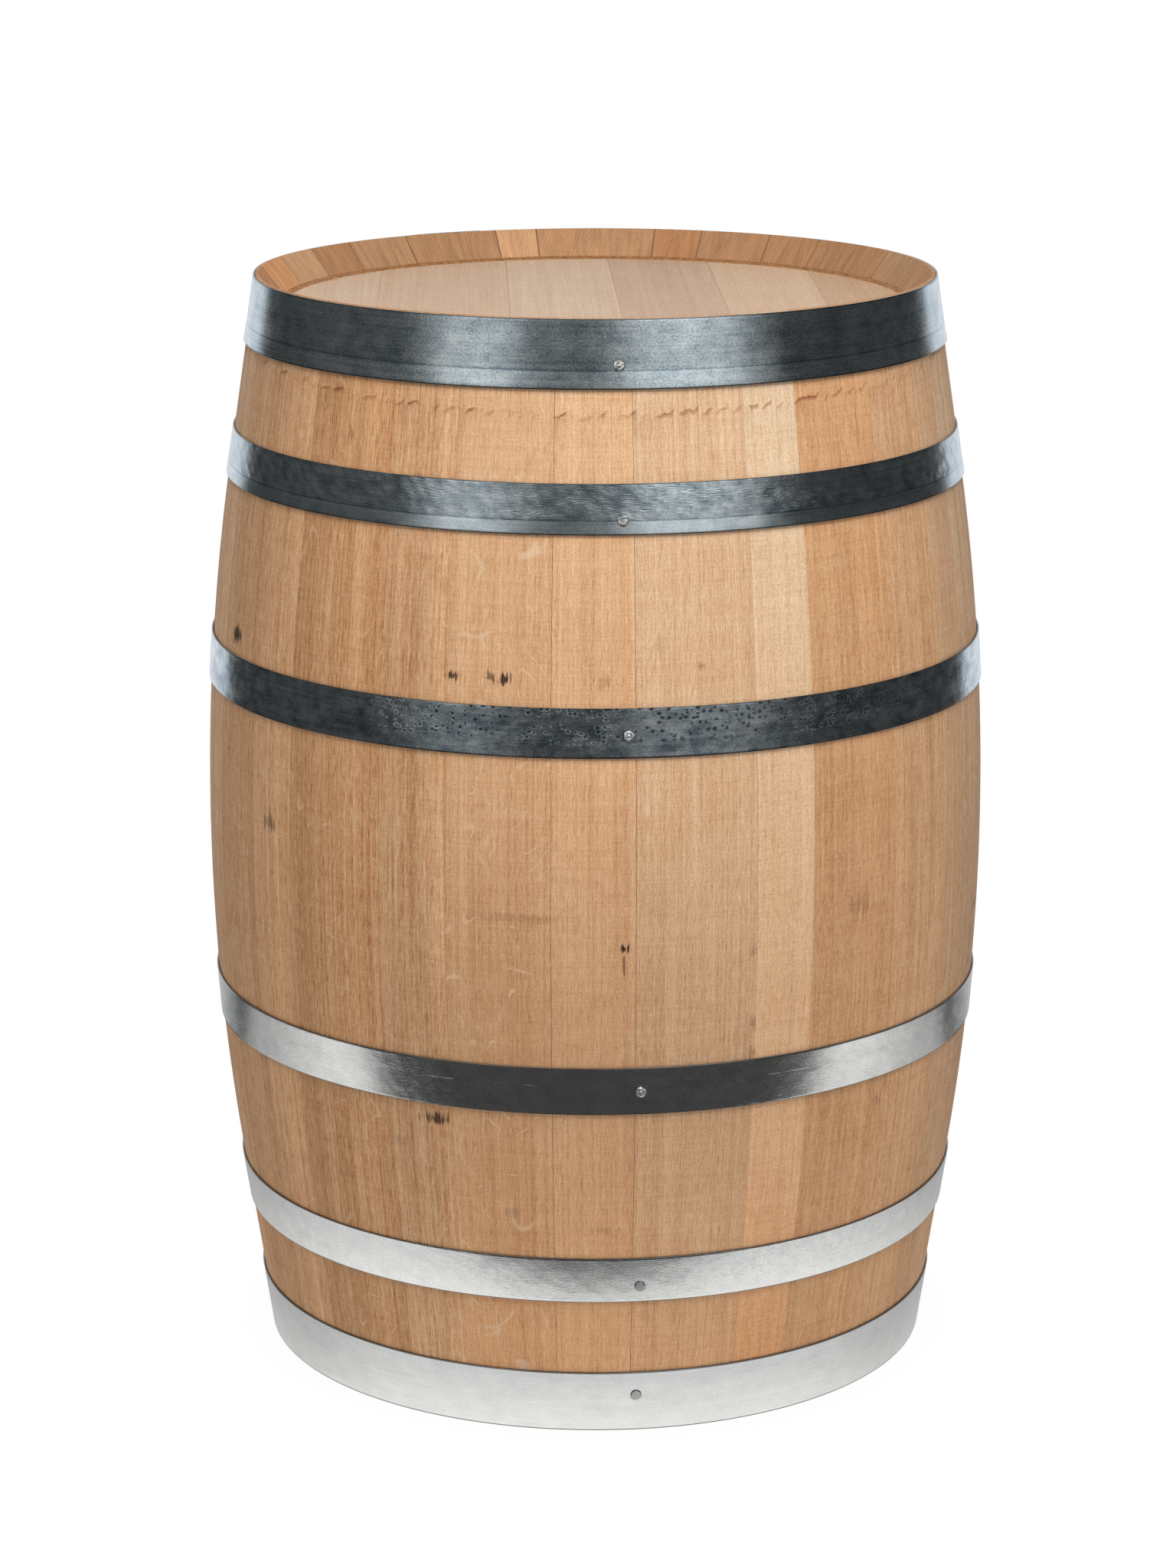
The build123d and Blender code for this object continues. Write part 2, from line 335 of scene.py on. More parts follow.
stave_kind = parts(attribute(stave_tree, "stave_figure", "Vector"))
stave_figure = use_group(oak_figure, grain_place, *stave_kind, stave_planing)
stave_colour = attribute(stave_tree, "stave_colour", "Color")
oak_colour = tint(1.0, stave_colour, stave_figure["Shade"], "MULTIPLY")
oak_colour = tint(times(stave_figure["Rays"], 0.48), oak_colour, ray_colour)
chatter_sway = noise(grain_place, 25, 3, 0, 2)
chatter_phase = plus(calc("DIVIDE", grain_around, chatter_pitch), chatter_sway, chatter_wander)
chatter_step = calc("FRACT", chatter_phase)
chatter_cell = {"W": calc("FLOOR", chatter_phase)}
chatter_chance = derive("TexWhiteNoise", chatter_cell, "Value", noise_dimensions="1D")
chatter_middle = plus(chatter_height, times(grain_around, grain_around), chatter_climb)
chatter_middle = plus(chatter_middle, chatter_chance, chatter_scatter)
above_row = plus(calc("SUBTRACT", grain_height, chatter_middle), chatter_step, -chatter_slant)
chatter_ragged = noise(grain_place, 220, 120, 0, 3, 0.7)
above_row = plus(above_row, swing(chatter_ragged), chatter_rag)
chatter_mark = times(
    ramp(above_row, chatter_half_height, chatter_half_height / 2),
    ramp(above_row, -2 * chatter_half_height, chatter_half_height / 2),
    ramp(chatter_step, 0.05, 0.4),
    ramp(chatter_step, 0.92, 0.7),
    ramp(chatter_chance, 0.0, 0.7, 0.3, 1.0),
    ramp(stave_share, 0.0, 1.0, 1.0, 0.55),
)
# Painted shadow: a faint darkening trails below each chatter mark and fades out downwards.
chatter_painted_shadow = times(
    ramp(above_row, -chatter_shadow_reach, -chatter_half_height, 0.0, 0.22),
    ramp(above_row, chatter_half_height, 0.0),
    ramp(stave_share, 0.02, 0.35, 1.0, 0.1),
)
chatter_waves = plus(above_row, chatter_sway, chatter_line_sway)
chatter_waves = times(chatter_waves, 2 * np.pi / chatter_line_pitch)
# The chatter marks and their painted shadow, in hatched lines, darken the oak and press into it.
chatter_with_painted_shadow = times(
    calc("MAXIMUM", chatter_mark, chatter_painted_shadow), plus(0.8, calc("SINE", chatter_waves), 0.2)
)
oak_colour = tint(chatter_with_painted_shadow, oak_colour, chatter_and_shadow_colour, "MULTIPLY")
joint_dark = ramp(grain_depth, joint_dark_start, joint_dark_full)
oak_colour = tint(times(joint_dark, 0.8), oak_colour, joint_colour, "MULTIPLY")
for turn, height, half_width, half_height, strength in stain_places:
    centre = (np.radians(turn) * bilge_radius, height, 0.0)
    size = (half_width, half_height, stain_depth_reach)
    stain = use_group(stain_mark, grain_place, centre, size, strength)[0]
    if strength < faint_stain:
        oak_colour = tint(stain, oak_colour, sap_colour, "MULTIPLY")
    else:
        oak_colour = tint(stain, oak_colour, stain_colour)
stave_rough = ramp(stave_figure["Height"], 0.2, 0.8, 0.72, 0.58)
stave_height = plus(stave_figure["Height"], chatter_with_painted_shadow, -1.0)
finish(stave_shader, oak_colour, stave_rough, stave_height, bump=0.15, reach=0.0004, specular=0.3)

# End grain of the staves, on the chime, the rim and the croze: rings and rows of pores show
# nearly upright, and the wood takes up more light, so it is deeper and more orange
ring_waves = 1500.0
ring_wander = 14.0
end_colour = linear(209, 197, 187)
end_oak, end_tree, end_shader = new_material("stave end grain")
end_seed = attribute(end_tree, "stave_figure", "Vector")
end_place = vector("ADD", end_seed, attribute(end_tree, "grain", "Vector"))
end_around, end_height, _ = parts(end_place)
ring_lean = plus(-0.7, calc("FRACT", parts(end_seed)[0]), 1.4)
ring_place = times(plus(end_around, end_height, ring_lean), ring_waves)
ring_warp = noise(end_place, 60, 30, 30, 2)
ring_lines = plus(0.5, calc("SINE", plus(ring_place, ring_warp, ring_wander)), 0.5)
ring_pores = ramp(noise(end_place, 900, 420, 420, 2), 0.52, 0.7)
end_shade = plus(plus(0.55, ring_lines, 0.12), noise(end_place, 160, 25, 25, 3), 0.8)
from_joint = apart(attribute(end_tree, "stave_share", "Fac"), 0.5)
end_shade = times(plus(end_shade, ring_pores, -0.2), ramp(from_joint, 0.484, 0.499, 1.0, 0.45))
end_tone = tint(1.0, attribute(end_tree, "stave_colour", "Color"), end_colour, "MULTIPLY")
end_tone = tint(1.0, end_tone, end_shade, "MULTIPLY")
finish(end_shader, end_tone, 0.75, ring_lines, bump=0.3, reach=0.0004, specular=0.25)

# Forms of the staves: every stave runs the whole height with its own width, and the widest one is
# bored for the bung
sharp_angle = np.radians(35)
bung_hole_radius = 0.025
bung_hole_narrowing = np.tan(np.radians(4.5))
hole_half_height = 0.05
hole_half_width = 0.045
hole_rings = np.linspace(0, 1, 7)


def skin_radius(height, depth=0.0):
    """Radius of the staves' outer face, or of the face this deep inside it.

    Near each end it is a cone of slope tan(end_lean), and between the cones it is the arc of
    bend_radius that touches both, with its widest point at mid-height.
    """
    rise = np.minimum(height, barrel_height - height)
    cone = end_radius + rise * np.tan(end_lean) - depth / np.cos(end_lean)
    bow = np.sqrt((bend_radius - depth) ** 2 - np.minimum(mid_height - rise, mid_height) ** 2)
    arc = bilge_radius - bend_radius + bow
    return np.where(rise < straight_height + depth * np.sin(end_lean), cone, arc)


def polar(radius, turn, height):
    """Points at a radius, turn and height: x = r cos t, y = r sin t and z = height."""
    radius, turn, height = np.broadcast_arrays(radius, turn, height)
    return np.stack([radius * np.cos(turn), radius * np.sin(turn), height], axis=-1)


def wrapped(turn):
    """A turn brought to within half a turn of nought."""
    return (turn + np.pi) % (2 * np.pi) - np.pi


def grid_quads(rows, columns, ring=False):
    """Quads of a grid of points, row by row, with the last column joined to the first.

    In a ring, the last row is joined to the first as well.
    """
    row = np.arange(rows if ring else rows - 1)[:, None]
    column = np.arange(columns)[None, :]
    after = (column + 1) % columns
    here, above = row * columns, (row + 1) % rows * columns
    corners = (here + column, here + after, above + after, above + column)
    return np.stack(corners, axis=-1)


def add_object(name, data):
    """An object of the scene."""
    thing = bpy.data.objects.new(name, data)
    bpy.context.scene.collection.objects.link(thing)
    return thing


def make_piece(name, points, quads, materials, body, replaced):
    """A smooth-shaded mesh object at the origin that rides on a body and stands for CAD nodes."""
    mesh = bpy.data.meshes.new(name)
    mesh.from_pydata(points.reshape(-1, 3), [], quads.reshape(-1, 4))
    mesh.shade_smooth()
    mesh.set_sharp_from_angle(angle=sharp_angle)
    for material in materials:
        mesh.materials.append(material)
    piece = add_object(name, mesh)
    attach(piece, body)
    if replaced:
        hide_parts(*replaced)
    return piece


def set_values(piece, name, values):
    """Gives every point of a piece a named value, vector or colour for its material to read."""
    kinds = {1: ("FLOAT", "value"), 3: ("FLOAT_VECTOR", "vector"), 4: ("FLOAT_COLOR", "color")}
    kind, field = kinds[values.size // len(piece.data.vertices)]
    carried = piece.data.attributes.new(name=name, type=kind, domain="POINT")
    carried.data.foreach_set(field, np.asarray(values, np.float32).ravel())


def turn_span(node):
    """The two turns between which a stave's node lies, measured from the middle of its points."""
    points = np.array([v.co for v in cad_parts[node].data.vertices])
    turns = np.arctan2(points[:, 1], points[:, 0])
    middle = np.arctan2(np.sin(turns).mean(), np.cos(turns).mean())
    offsets = wrapped(turns - middle)
    return middle + offsets.min(), middle + offsets.max()


def stave_surface(start, end, arrises):
    """Points of a stave by height and by the way round its section.

    The way round goes along the outer face from start to end and back along the inner face. The
    outer face is skin_radius less a quarter-round at each joint, and the inner face runs over the
    chime, the croze and the curve that lies stave_thickness inside the outer face.
    """
    width = (end - start) * bilge_radius
    middle_count = max(4, round(width / stave_column_pitch))
    low_arris = arrises[0] * arris_steps[:-1]
    face = np.linspace(arrises[0], width - arrises[1], middle_count)
    from_start = np.concatenate([low_arris, face, width - arrises[1] * arris_steps[-2::-1]])
    share = from_start / width
    reach = np.where(share < 0.5, from_start / arrises[0], (width - from_start) / arrises[1])
    inside = np.clip(1 - reach, 0, 1)
    drop = np.where(share < 0.5, *arrises) * (1 - np.sqrt(1 - inside**2))
    turns = start + joint_gap / bilge_radius + share * (end - start - 2 * joint_gap / bilge_radius)
    outer_height = np.linspace(0, barrel_height, stave_rows)[:, None]
    end_heights = np.array([0, chime_depth, croze_top_depth, tongue_depth, tongue_depth])
    chime_radius, tongue_radius = skin_radius(end_heights[[1, 3]], stave_thickness)
    end_radii = np.array(
        [end_radius - rim_land, chime_radius, croze_radius, croze_radius, tongue_radius]
    )
    wall_rows = stave_rows - 2 * len(end_heights) + 2
    wall_height = np.linspace(tongue_depth, barrel_height - tongue_depth, wall_rows)[1:-1]
    wall_radius = skin_radius(wall_height, stave_thickness)
    inner_height = np.concatenate([end_heights, wall_height, barrel_height - end_heights[::-1]])
    inner_radius = np.concatenate([end_radii, wall_radius, end_radii[::-1]])
    outer = polar(skin_radius(outer_height) - drop, turns, outer_height)
    inner = polar(inner_radius[:, None], turns[::-1], inner_height[:, None])
    return np.concatenate([outer, inner], axis=1)


def stave_quads(columns):
    """Quads of a stave's closed skin: its long faces and, at each end, the rim between them."""
    first = np.arange(columns // 2 - 1)
    across = columns - 1 - first
    low_end = np.stack([first + 1, first, across, across - 1], axis=-1)
    high_end = np.stack([first, first + 1, across - 1, across], axis=-1)
    high_end += (stave_rows - 1) * columns
    return grid_quads(stave_rows, columns), np.concatenate([low_end, high_end])


def face_rings(rim, depth, radius, shares):
    """Rings of points on a face of the bung stave, this deep in it, round the hole.

    Each is a blend, by its share, of the rim and of a circle of the radius, in x and z, with y on
    the stave's face.
    """
    from_axis = rim[:, [0, 2]] - (0, mid_height)
    heading = from_axis / np.linalg.norm(from_axis, axis=1)[:, None]
    share = shares[:, None, None]
    blended = from_axis * (1 - share) + heading * radius * share
    x, z = blended[..., 0], blended[..., 1] + mid_height
    return np.stack([x, np.sqrt(skin_radius(z, depth) ** 2 - x**2), z], axis=-1)


def bored_skin(points, long_faces):
    """A stave's points and quads with the bung hole through its middle.

    The quads of a rectangle round the hole leave the outer and the inner face. Rings of points go
    from the rectangle's rim to the hole's circle, through the wall to the inner circle and out to
    the inner rectangle.
    """
    columns = points.shape[1]
    outer_x = points[stave_rows // 2, : columns // 2, 0]
    left, right = np.flatnonzero(np.abs(outer_x) < hole_half_width)[[0, -1]]
    low, high = np.flatnonzero(np.abs(points[:, 0, 2] - mid_height) < hole_half_height)[[0, -1]]
    along_row, along_column = np.arange(left, right), np.arange(low, high)
    wide, tall = np.ones_like(along_row), np.ones_like(along_column)
    rim_row = np.concatenate([low * wide, along_column, high * wide, along_column[::-1] + 1])
    rim_column = np.concatenate([along_row, right * tall, along_row[::-1] + 1, left * tall])
    outer_rim = rim_row * columns + rim_column
    inner_rim = rim_row * columns + (columns - 1 - rim_column)
    flat = points.reshape(-1, 3)
    inner_circle = bung_hole_radius - stave_thickness * bung_hole_narrowing
    rings = np.concatenate(
        [
            face_rings(flat[outer_rim], 0.0, bung_hole_radius, hole_rings[1:]),
            face_rings(flat[inner_rim], stave_thickness, inner_circle, hole_rings[:0:-1]),
        ]
    )
    ring_index = len(flat) + np.arange(rings[..., 0].size).reshape(rings.shape[:2])
    order = np.concatenate([outer_rim[None], ring_index, inner_rim[None]])
    after = np.roll(order, -1, axis=1)
    bore = np.stack([order[:-1], after[:-1], after[1:], order[1:]], axis=-1)
    whole = np.ones(long_faces.shape[:2], bool)
    whole[low:high, left:right] = False
    whole[low:high, columns - 1 - right : columns - 1 - left] = False
    quads = np.concatenate([long_faces[whole], bore.reshape(-1, 4)])
    return np.concatenate([flat, rings.reshape(-1, 3)]), quads


# Tones of the staves that the photograph shows, as shares of plain oak, each with its warmth,
# contrast and rays. Two more values, where they aren't usual_foot, are how much painted shade
# darkens it below the bilge and how much it warms towards the foot. The other staves are drawn
# from the same range.
plain_oak = np.array(linear(224, 180, 139))
front_tones = {
    "bung_stave": (0.98, 0.0, 0.9, 0.3),
    "stave_02": (1.25, -0.04, 0.8, 0.2),
    "stave_03": (0.86, 0.0, 1.0, 0.4),
    "stave_10": (0.85, 0.08, 1.2, 0.3),
    "stave_11": (0.88, 0.09, 1.4, 0.6, 0.0, 0.02),
    "stave_12": (0.79, 0.16, 1.6, 0.7, 0.02, -0.03),
    "stave_13": (0.88, 0.09, 1.35, 0.3, 0.13, 0.02),
    "stave_14": (0.97, 0.05, 0.95, 1.0, 0.17, 0.12),
    "stave_15": (1.04, 0.03, 0.9, 0.1, 0.19, 0.13),
    "stave_16": (1.05, -0.04, 0.9, 0.2, 0.17, 0.15),
    "stave_17": (1.17, -0.1, 0.6, 0.0, 0.1, 0.3),
    "stave_18": (0.9, 0.13, 1.0, 0.15, 0.05, 0.0),
    "stave_19": (0.95, 0.07, 1.1, 0.2),
    "stave_20": (0.92, 0.02, 1.0, 0.1),
    "stave_25": (0.82, 0.0, 1.0, 0.4),
    "stave_26": (0.8, 0.02, 1.1, 0.2),
    "stave_27": (0.84, 0.03, 1.0, 0.3),
    "stave_28": (0.86, 0.01, 1.2, 0.2),
}
usual_foot = (0.0, 0.05)
lowest_tones = (0.8, -0.1, 0.7, 0.0, 0.0, 0.0)
highest_tones = (1.15, 0.12, 1.6, 0.8, 0.15, 0.2)
warm_height = 0.75
bilge_shade_height = 0.33
bilge_shade_reach = 0.17
stave_stripes = {
    "stave_11": ((0.1, 0.2, -0.06), (0.75, 0.3, 0.1)),
    "stave_12": ((0.05, 0.3, -0.07), (0.75, 0.25, 0.06)),
    "stave_13": ((0.2, 0.3, -0.03), (0.64, 0.05, -0.15), (0.84, 0.12, 0.1)),
    "stave_18": ((0.2, 0.3, -0.04), (0.8, 0.2, 0.05)),
}
foot_stains = {"stave_13": -0.2, "stave_16": 0.08, "stave_17": 0.22}
foot_stain_height = 0.2
foot_stain_tint = (0.6, 1.0, 1.3)
arris_range = (0.0001, 0.0003)
open_joint_stave = "stave_15"
open_arris = 0.0006
figure_seeds = 40
end_face_depth = 0.0025
end_face_margin = 0.001
stave_random = np.random.default_rng(29)
for node in sorted(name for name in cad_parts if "stave" in name):
    start, end = turn_span(node)
    arrises = stave_random.uniform(*arris_range, 2)
    if node == open_joint_stave:
        arrises[:] = open_arris
    drawn = stave_random.uniform(lowest_tones, highest_tones)
    tones = (*front_tones.get(node, drawn), *usual_foot)
    tone, warmth, contrast, ray, bilge_shade, foot_warmth = tones[: len(drawn)]
    points = stave_surface(start, end, arrises)
    quads, ends = stave_quads(points.shape[1])
    if node == "bung_stave":
        points, quads = bored_skin(points, quads)
    points = points.reshape(-1, 3)
    quads = np.concatenate([quads.reshape(-1, 4), ends])
    faces = (stave_oak, end_oak)
    stave = make_piece(node + "_wood", points, quads, faces, "barrel", (node,))
    x, y, height = points.T
    depth = skin_radius(height) - np.hypot(x, y)
    middle = (start + end) / 2
    turns = middle + wrapped(np.arctan2(y, x) - middle)
    around = wrapped(turns - front_turn)
    if np.ptp(around) > np.pi:
        around = np.where(around < 0, around + 2 * np.pi, around)
    set_values(stave, "grain", np.stack([around * bilge_radius, height, depth], axis=-1))
    share = (turns - start) / (end - start)
    set_values(stave, "stave_share", share)
    warm = (warmth + foot_warmth * (warm_height - height) / barrel_height)[:, None]
    plain = np.full_like(warm, 1 / tone)
    colours = plain_oak * tone * np.hstack([1 + warm / 2, 1 - warm / 2, 1 - 1.5 * warm, plain])
    stripes = sum(
        strength * np.exp(-(((share - place) / width) ** 2))
        for place, width, strength in stave_stripes.get(node, ())
    )
    # Painted shade: each stave is darkened in a band below the bilge, where its face turns down
    # away from the lamp.
    painted_bilge_shade = 1 - bilge_shade * np.exp(-(((height - bilge_shade_height) / bilge_shade_reach) ** 2))
    foot = foot_stains.get(node, 0.0) * np.clip(1 - height / foot_stain_height, 0, 1)
    colours *= (painted_bilge_shade * (1 + stripes))[:, None]
    colours[:, :3] *= 1 - foot[:, None] * foot_stain_tint
    set_values(stave, "stave_colour", colours)
    figure = (stave_random.uniform(0, figure_seeds), contrast, ray)
    set_values(stave, "stave_figure", np.tile(figure, (len(points), 1)))
    from_end = np.minimum(height, barrel_height - height)[quads].max(axis=1)
    in_wood = depth[quads]
    on_end = (from_end < tongue_depth + end_face_margin) & (in_wood.max(axis=1) > end_face_depth)
    on_end &= (in_wood.min(axis=1) > end_face_depth) | (from_end < end_face_margin)
    stave.data.polygons.foreach_set("material_index", on_end.astype(np.int32))


# Heads: boards of quarter-sawn oak, dowelled edge to edge, turned to a disc and sprung into the
# croze. They are flatter and paler than the staves, and their grain runs from front to back.
head_turn = np.radians(1.8)
head_seams = (-0.1878, -0.0746, 0.0193, 0.1105, 0.1975)
seam_line_width = 0.0006
head_contrast, head_rays, head_planing = 0.8, 0.5, 0.08
seam_colour = linear(120, 84, 54)
head_colours = (
    (197, 168, 141),
    (195, 164, 136),
    (198, 169, 142),
    (186, 155, 129),
    (198, 166, 136),
    (186, 151, 119),
)
board_count = len(head_colours)
head_oak, head_tree, head_shader = new_material("head oak")
head_object = add_node(head_tree, "TexCoord")["Object"]
head_place = derive("Mapping", {"Vector": head_object, "Rotation": (0, 0, -head_turn)})
head_across = parts(head_place)[0]
board_number = 0.0
seam_lines = 0.0
for seam in head_seams:
    board_number = calc("ADD", board_number, calc("GREATER_THAN", head_across, seam))
    seam_line = ramp(apart(head_across, seam), seam_line_width, 0.0)
    seam_lines = calc("MAXIMUM", seam_lines, seam_line)
head_figure = use_group(
    oak_figure, head_place, board_number, head_contrast, head_rays, head_planing
)
board_share = calc("DIVIDE", calc("ADD", board_number, 0.5), board_count)
board_tones = derive("ValToRGB", {0: board_share})
board_ramp = board_tones.node.color_ramp
board_ramp.interpolation = "CONSTANT"
for number, board_colour in enumerate(head_colours):
    place = number / board_count
    stop = board_ramp.elements[number] if number < 2 else board_ramp.elements.new(place)
    stop.position = place
    stop.color = linear(*board_colour)
head_colour = tint(0.65, board_tones, head_figure["Shade"], "MULTIPLY")
head_colour = tint(times(seam_lines, 0.5), head_colour, seam_colour)
head_height = plus(head_figure["Height"], seam_lines, -2.0)
finish(head_shader, head_colour, 0.6, head_height, bump=0.2, reach=0.0003, specular=0.3)
for node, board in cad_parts.items():
    if "head_board" in node or "dowels" in node:
        board.data.materials.clear()
        board.data.materials.append(head_oak)


# Croze seals: a bead of brown flour paste, pressed by thumb into the corner between each head and
# the chime, where it dries hard and keeps the croze tight. The paste's dark browns are also painted
# shade: they stand for the shade in the groove between head and chime.
head_depth = 0.025
seal_inside = 0.2652
seal_outside = 0.2716
seal_rise = 0.0022
seal_hollow = 1.3
seal_waver = 0.0004
seal_columns = 240
seal_profile_points = 6
seal_random = np.random.default_rng(3)
dark_paste_painted_shade = linear(126, 82, 46)
pale_paste_painted_shade = linear(170, 122, 76)
seal_paste_painted_shade, seal_tree, seal_shader = new_material("croze paste painted shade")
seal_place = add_node(seal_tree, "TexCoord")["Object"]
seal_grain = noise(seal_place, 260, 260, 260, 4, 0.7)
# Painted shade: both browns of the paste are darker than the oak on either side, as the shaded
# groove is.
seal_painted_shade_colour = tint(ramp(seal_grain, 0.35, 0.65), dark_paste_painted_shade, pale_paste_painted_shade)
finish(seal_shader, seal_painted_shade_colour, 0.8, seal_grain, bump=0.4, reach=0.0005)


def seal_surface(side):
    """Points of a seal by the way round its section and by turn, for the head at this side.

    The section rises from the head by seal_rise times a power, seal_hollow, of its share of the
    way out to the chime, and closes flat on the head. Its inner edge wavers by a few drawn waves.
    """
    turn = np.linspace(0, 2 * np.pi, seal_columns, endpoint=False)[None, :]
    waver = sum(
        seal_random.uniform(0.3, 1) * np.cos(k * turn + seal_random.uniform(0, 2 * np.pi)) / k**0.5
        for k in (5, 9, 16, 31)
    )
    inside = seal_inside + seal_waver * waver
    share = np.linspace(0, 1, seal_profile_points)[:, None]
    radius = np.concatenate([inside + (seal_outside - inside) * share, seal_outside + 0 * turn])
    rise = np.concatenate([seal_rise * share**seal_hollow + 0 * turn, 0 * turn])
    return polar(radius, turn, mid_height + side * (mid_height - head_depth + rise))


for name, side in (("top_croze_seal", 1), ("bottom_croze_seal", -1)):
    points = seal_surface(side)
    quads = grid_quads(len(points), seal_columns, ring=True)
    if side > 0:
        quads = quads[..., ::-1]
    make_piece(name, points, quads, (seal_paste_painted_shade,), "barrel", ())


# Hoops: strips of galvanised steel, lapped and riveted at the back and driven down over the
# staves with a hammer, which leaves dents, a crease and bright scuffs. Each strip leans with them.
hoop_thickness = 0.0016
hoop_seat_gap = 0.0003
hoop_corner = 0.00045
hoop_columns = 1200
hoop_face_points = 27
lap_turn = np.radians(117)
lap_length = 0.06
lap_run_length = 0.024
crease_fade = 0.003
slope_step = 0.001
weld_reach = 1e-6
hoop_random = np.random.default_rng(6)


def hammer_marks(arc, rise, length, marks, sizes, deepest):
    """Depth of the hollows that a hammer leaves on a strip of this length round the barrel.

    Each of the marks is a depth times exp(-(a/long)^2 - (b/short)^2), with a and b measured from
    its middle along axes at its own slant. Middles, slants and sizes are drawn at random.
    """
    total = np.zeros(np.broadcast_shapes(arc.shape, rise.shape))
    reach = np.ptp(rise) / 2
    for _ in range(marks):
        middle_arc = hoop_random.uniform(0, length)
        middle_rise = hoop_random.uniform(-reach, reach)
        slant = hoop_random.uniform(-0.9, 0.9)
        long_size = hoop_random.uniform(*sizes)
        short_size = long_size * hoop_random.uniform(0.3, 0.6)
        off_arc = (arc - middle_arc + length / 2) % length - length / 2
        off_rise = rise - middle_rise
        a = (off_arc * np.cos(slant) + off_rise * np.sin(slant)) / long_size
        b = (off_rise * np.cos(slant) - off_arc * np.sin(slant)) / short_size
        total += hoop_random.uniform(0.0, deepest) * np.exp(-(a**2) - b**2)
    return total


def strip_section(width):
    """Points round a strip's section, as (rise, out): its outer face, then its rounded edges."""
    bend = np.linspace(0, np.pi / 2, 4)
    flat = width / 2 - hoop_corner
    face = np.linspace(-flat, flat, hoop_face_points)[1:-1]
    rise = -flat - hoop_corner * np.cos(bend)
    out = hoop_thickness - hoop_corner + hoop_corner * np.sin(bend)
    back = hoop_thickness - out
    rises = [rise, face, -rise[::-1], -rise, rise[::-1]]
    outs = [out, 0 * face + hoop_thickness, out[::-1], back, back[::-1]]
    return np.concatenate(rises), np.concatenate(outs)


def weld(piece):
    """Joins the points of a piece that lie in one place, as at a seam or on an axis."""
    shell = bmesh.new()
    shell.from_mesh(piece.data)
    bmesh.ops.remove_doubles(shell, verts=shell.verts, dist=weld_reach)
    shell.to_mesh(piece.data)
    shell.free()


def hoop_frame(node):
    """A hoop's middle height, the radius of the staves there, their lean and the strip's width."""
    low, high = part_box(node)
    height = (low.z + high.z) / 2
    growth = float(skin_radius(height + slope_step) - skin_radius(height - slope_step))
    lean = np.arctan(growth / (2 * slope_step))
    width = (high.z - low.z - hoop_thickness * abs(np.sin(lean))) / np.cos(lean)
    return height, float(skin_radius(height)), lean, width


def off_staves(height, radius, lean, stand, rise):
    """Radius and height of a point that stands off the leaning staves and lies up along them."""
    out = radius + stand * np.cos(lean) + rise * np.sin(lean)
    return out, height - stand * np.sin(lean) + rise * np.cos(lean)


def hoop_surface(node, marks, sizes, deepest, crease, flare):
    """Points of a hoop by turn and by the way round its section, and where they are on the strip.

    A section point at (rise, out) lies at the staves' face plus rise along their slope and out
    along their normal. The lap doubles the thickness for lap_length and then runs down to the
    strip in a straight line, hammer marks press the outer face in, and below the crease the strip
    flares out by its distance below it times the flare.
    """
    height, radius, lean, width = hoop_frame(node)
    start = lap_turn - lap_length / 2 / radius
    turns = np.linspace(start, start + 2 * np.pi, hoop_columns)[:, None]
    arc = (turns - start) * radius
    rise, out = strip_section(width)
    on_face = np.clip((out - hoop_thickness / 2) / (hoop_thickness / 2), 0, 1)
    lap = np.clip((lap_length + lap_run_length - arc) / lap_run_length, 0, 1) * hoop_thickness
    below = np.clip((crease - 0.5) * width - rise, 0, None)
    dents = hammer_marks(arc, rise[None, :], 2 * np.pi * radius, marks, sizes, deepest) * on_face
    dents *= np.clip(1 - below / crease_fade, 0, 1)
    lapped = np.where(out > hoop_thickness / 2, lap, 0)
    stand = hoop_seat_gap + out + below * flare + lapped - dents
    stand_radius, stand_height = off_staves(height, radius, lean, stand, rise)
    place = np.broadcast_arrays(arc, rise, rise / width + 0.5)
    return polar(stand_radius, turns, stand_height), np.stack(place, axis=-1)


# Zinc on the hoops: soft mottling, fine grain that is partly painted glints, lines drawn along the
# strip, dark pits, small dents with a painted sheen in their hollows, a painted shade line where
# the strip is creased and a painted sheen below it, a broken scratch, and dark edges where it was
# cut, which are bare steel and painted shadow of the gap beside them.
# Places are the way along the strip and up it in metres, and the share of the way up.
zinc_step = (1.7, 2.9, 0.0)
dent_slant = 0.6
dent_painted_sheen = -6.0
pitted_middle = 0.985
pitted_reach = 0.32
pit_colour = linear(44, 50, 56)
scratch_colour = linear(250, 250, 248)
cut_steel_and_shadow_colour = linear(64, 62, 60)
zinc_coat, zinc_in, zinc_out = new_group(
    "zinc coat",
    "Place:Vector Seed Dark:Color Pale:Color Mottle Grain Lines Pits Dents Crease Fade Scratch",
    "Colour:Color Roughness Height",
)
along_strip, _, across_strip = parts(zinc_in["Place"])
zinc_place = shifted(zinc_in["Place"], zinc_in["Seed"], zinc_step)


def ragged_cells(place, cells, warps, detail, inputs, **settings):
    """Cells with so many to the metre each way, their edges moved about by noise."""
    warp = derive("TexNoise", {"Vector": zinc_place, "Scale": warps, "Detail": detail}, "Color")
    scaled = derive("Mapping", {"Vector": place, "Scale": cells})
    inputs = {"Vector": vector("ADD", scaled, warp), "Scale": 1.0, **inputs}
    return add_node(zinc_coat, "TexVoronoi", inputs, voronoi_dimensions="2D", **settings)


mottle = noise(zinc_place, 45, 60, 0, 4, 0.65)
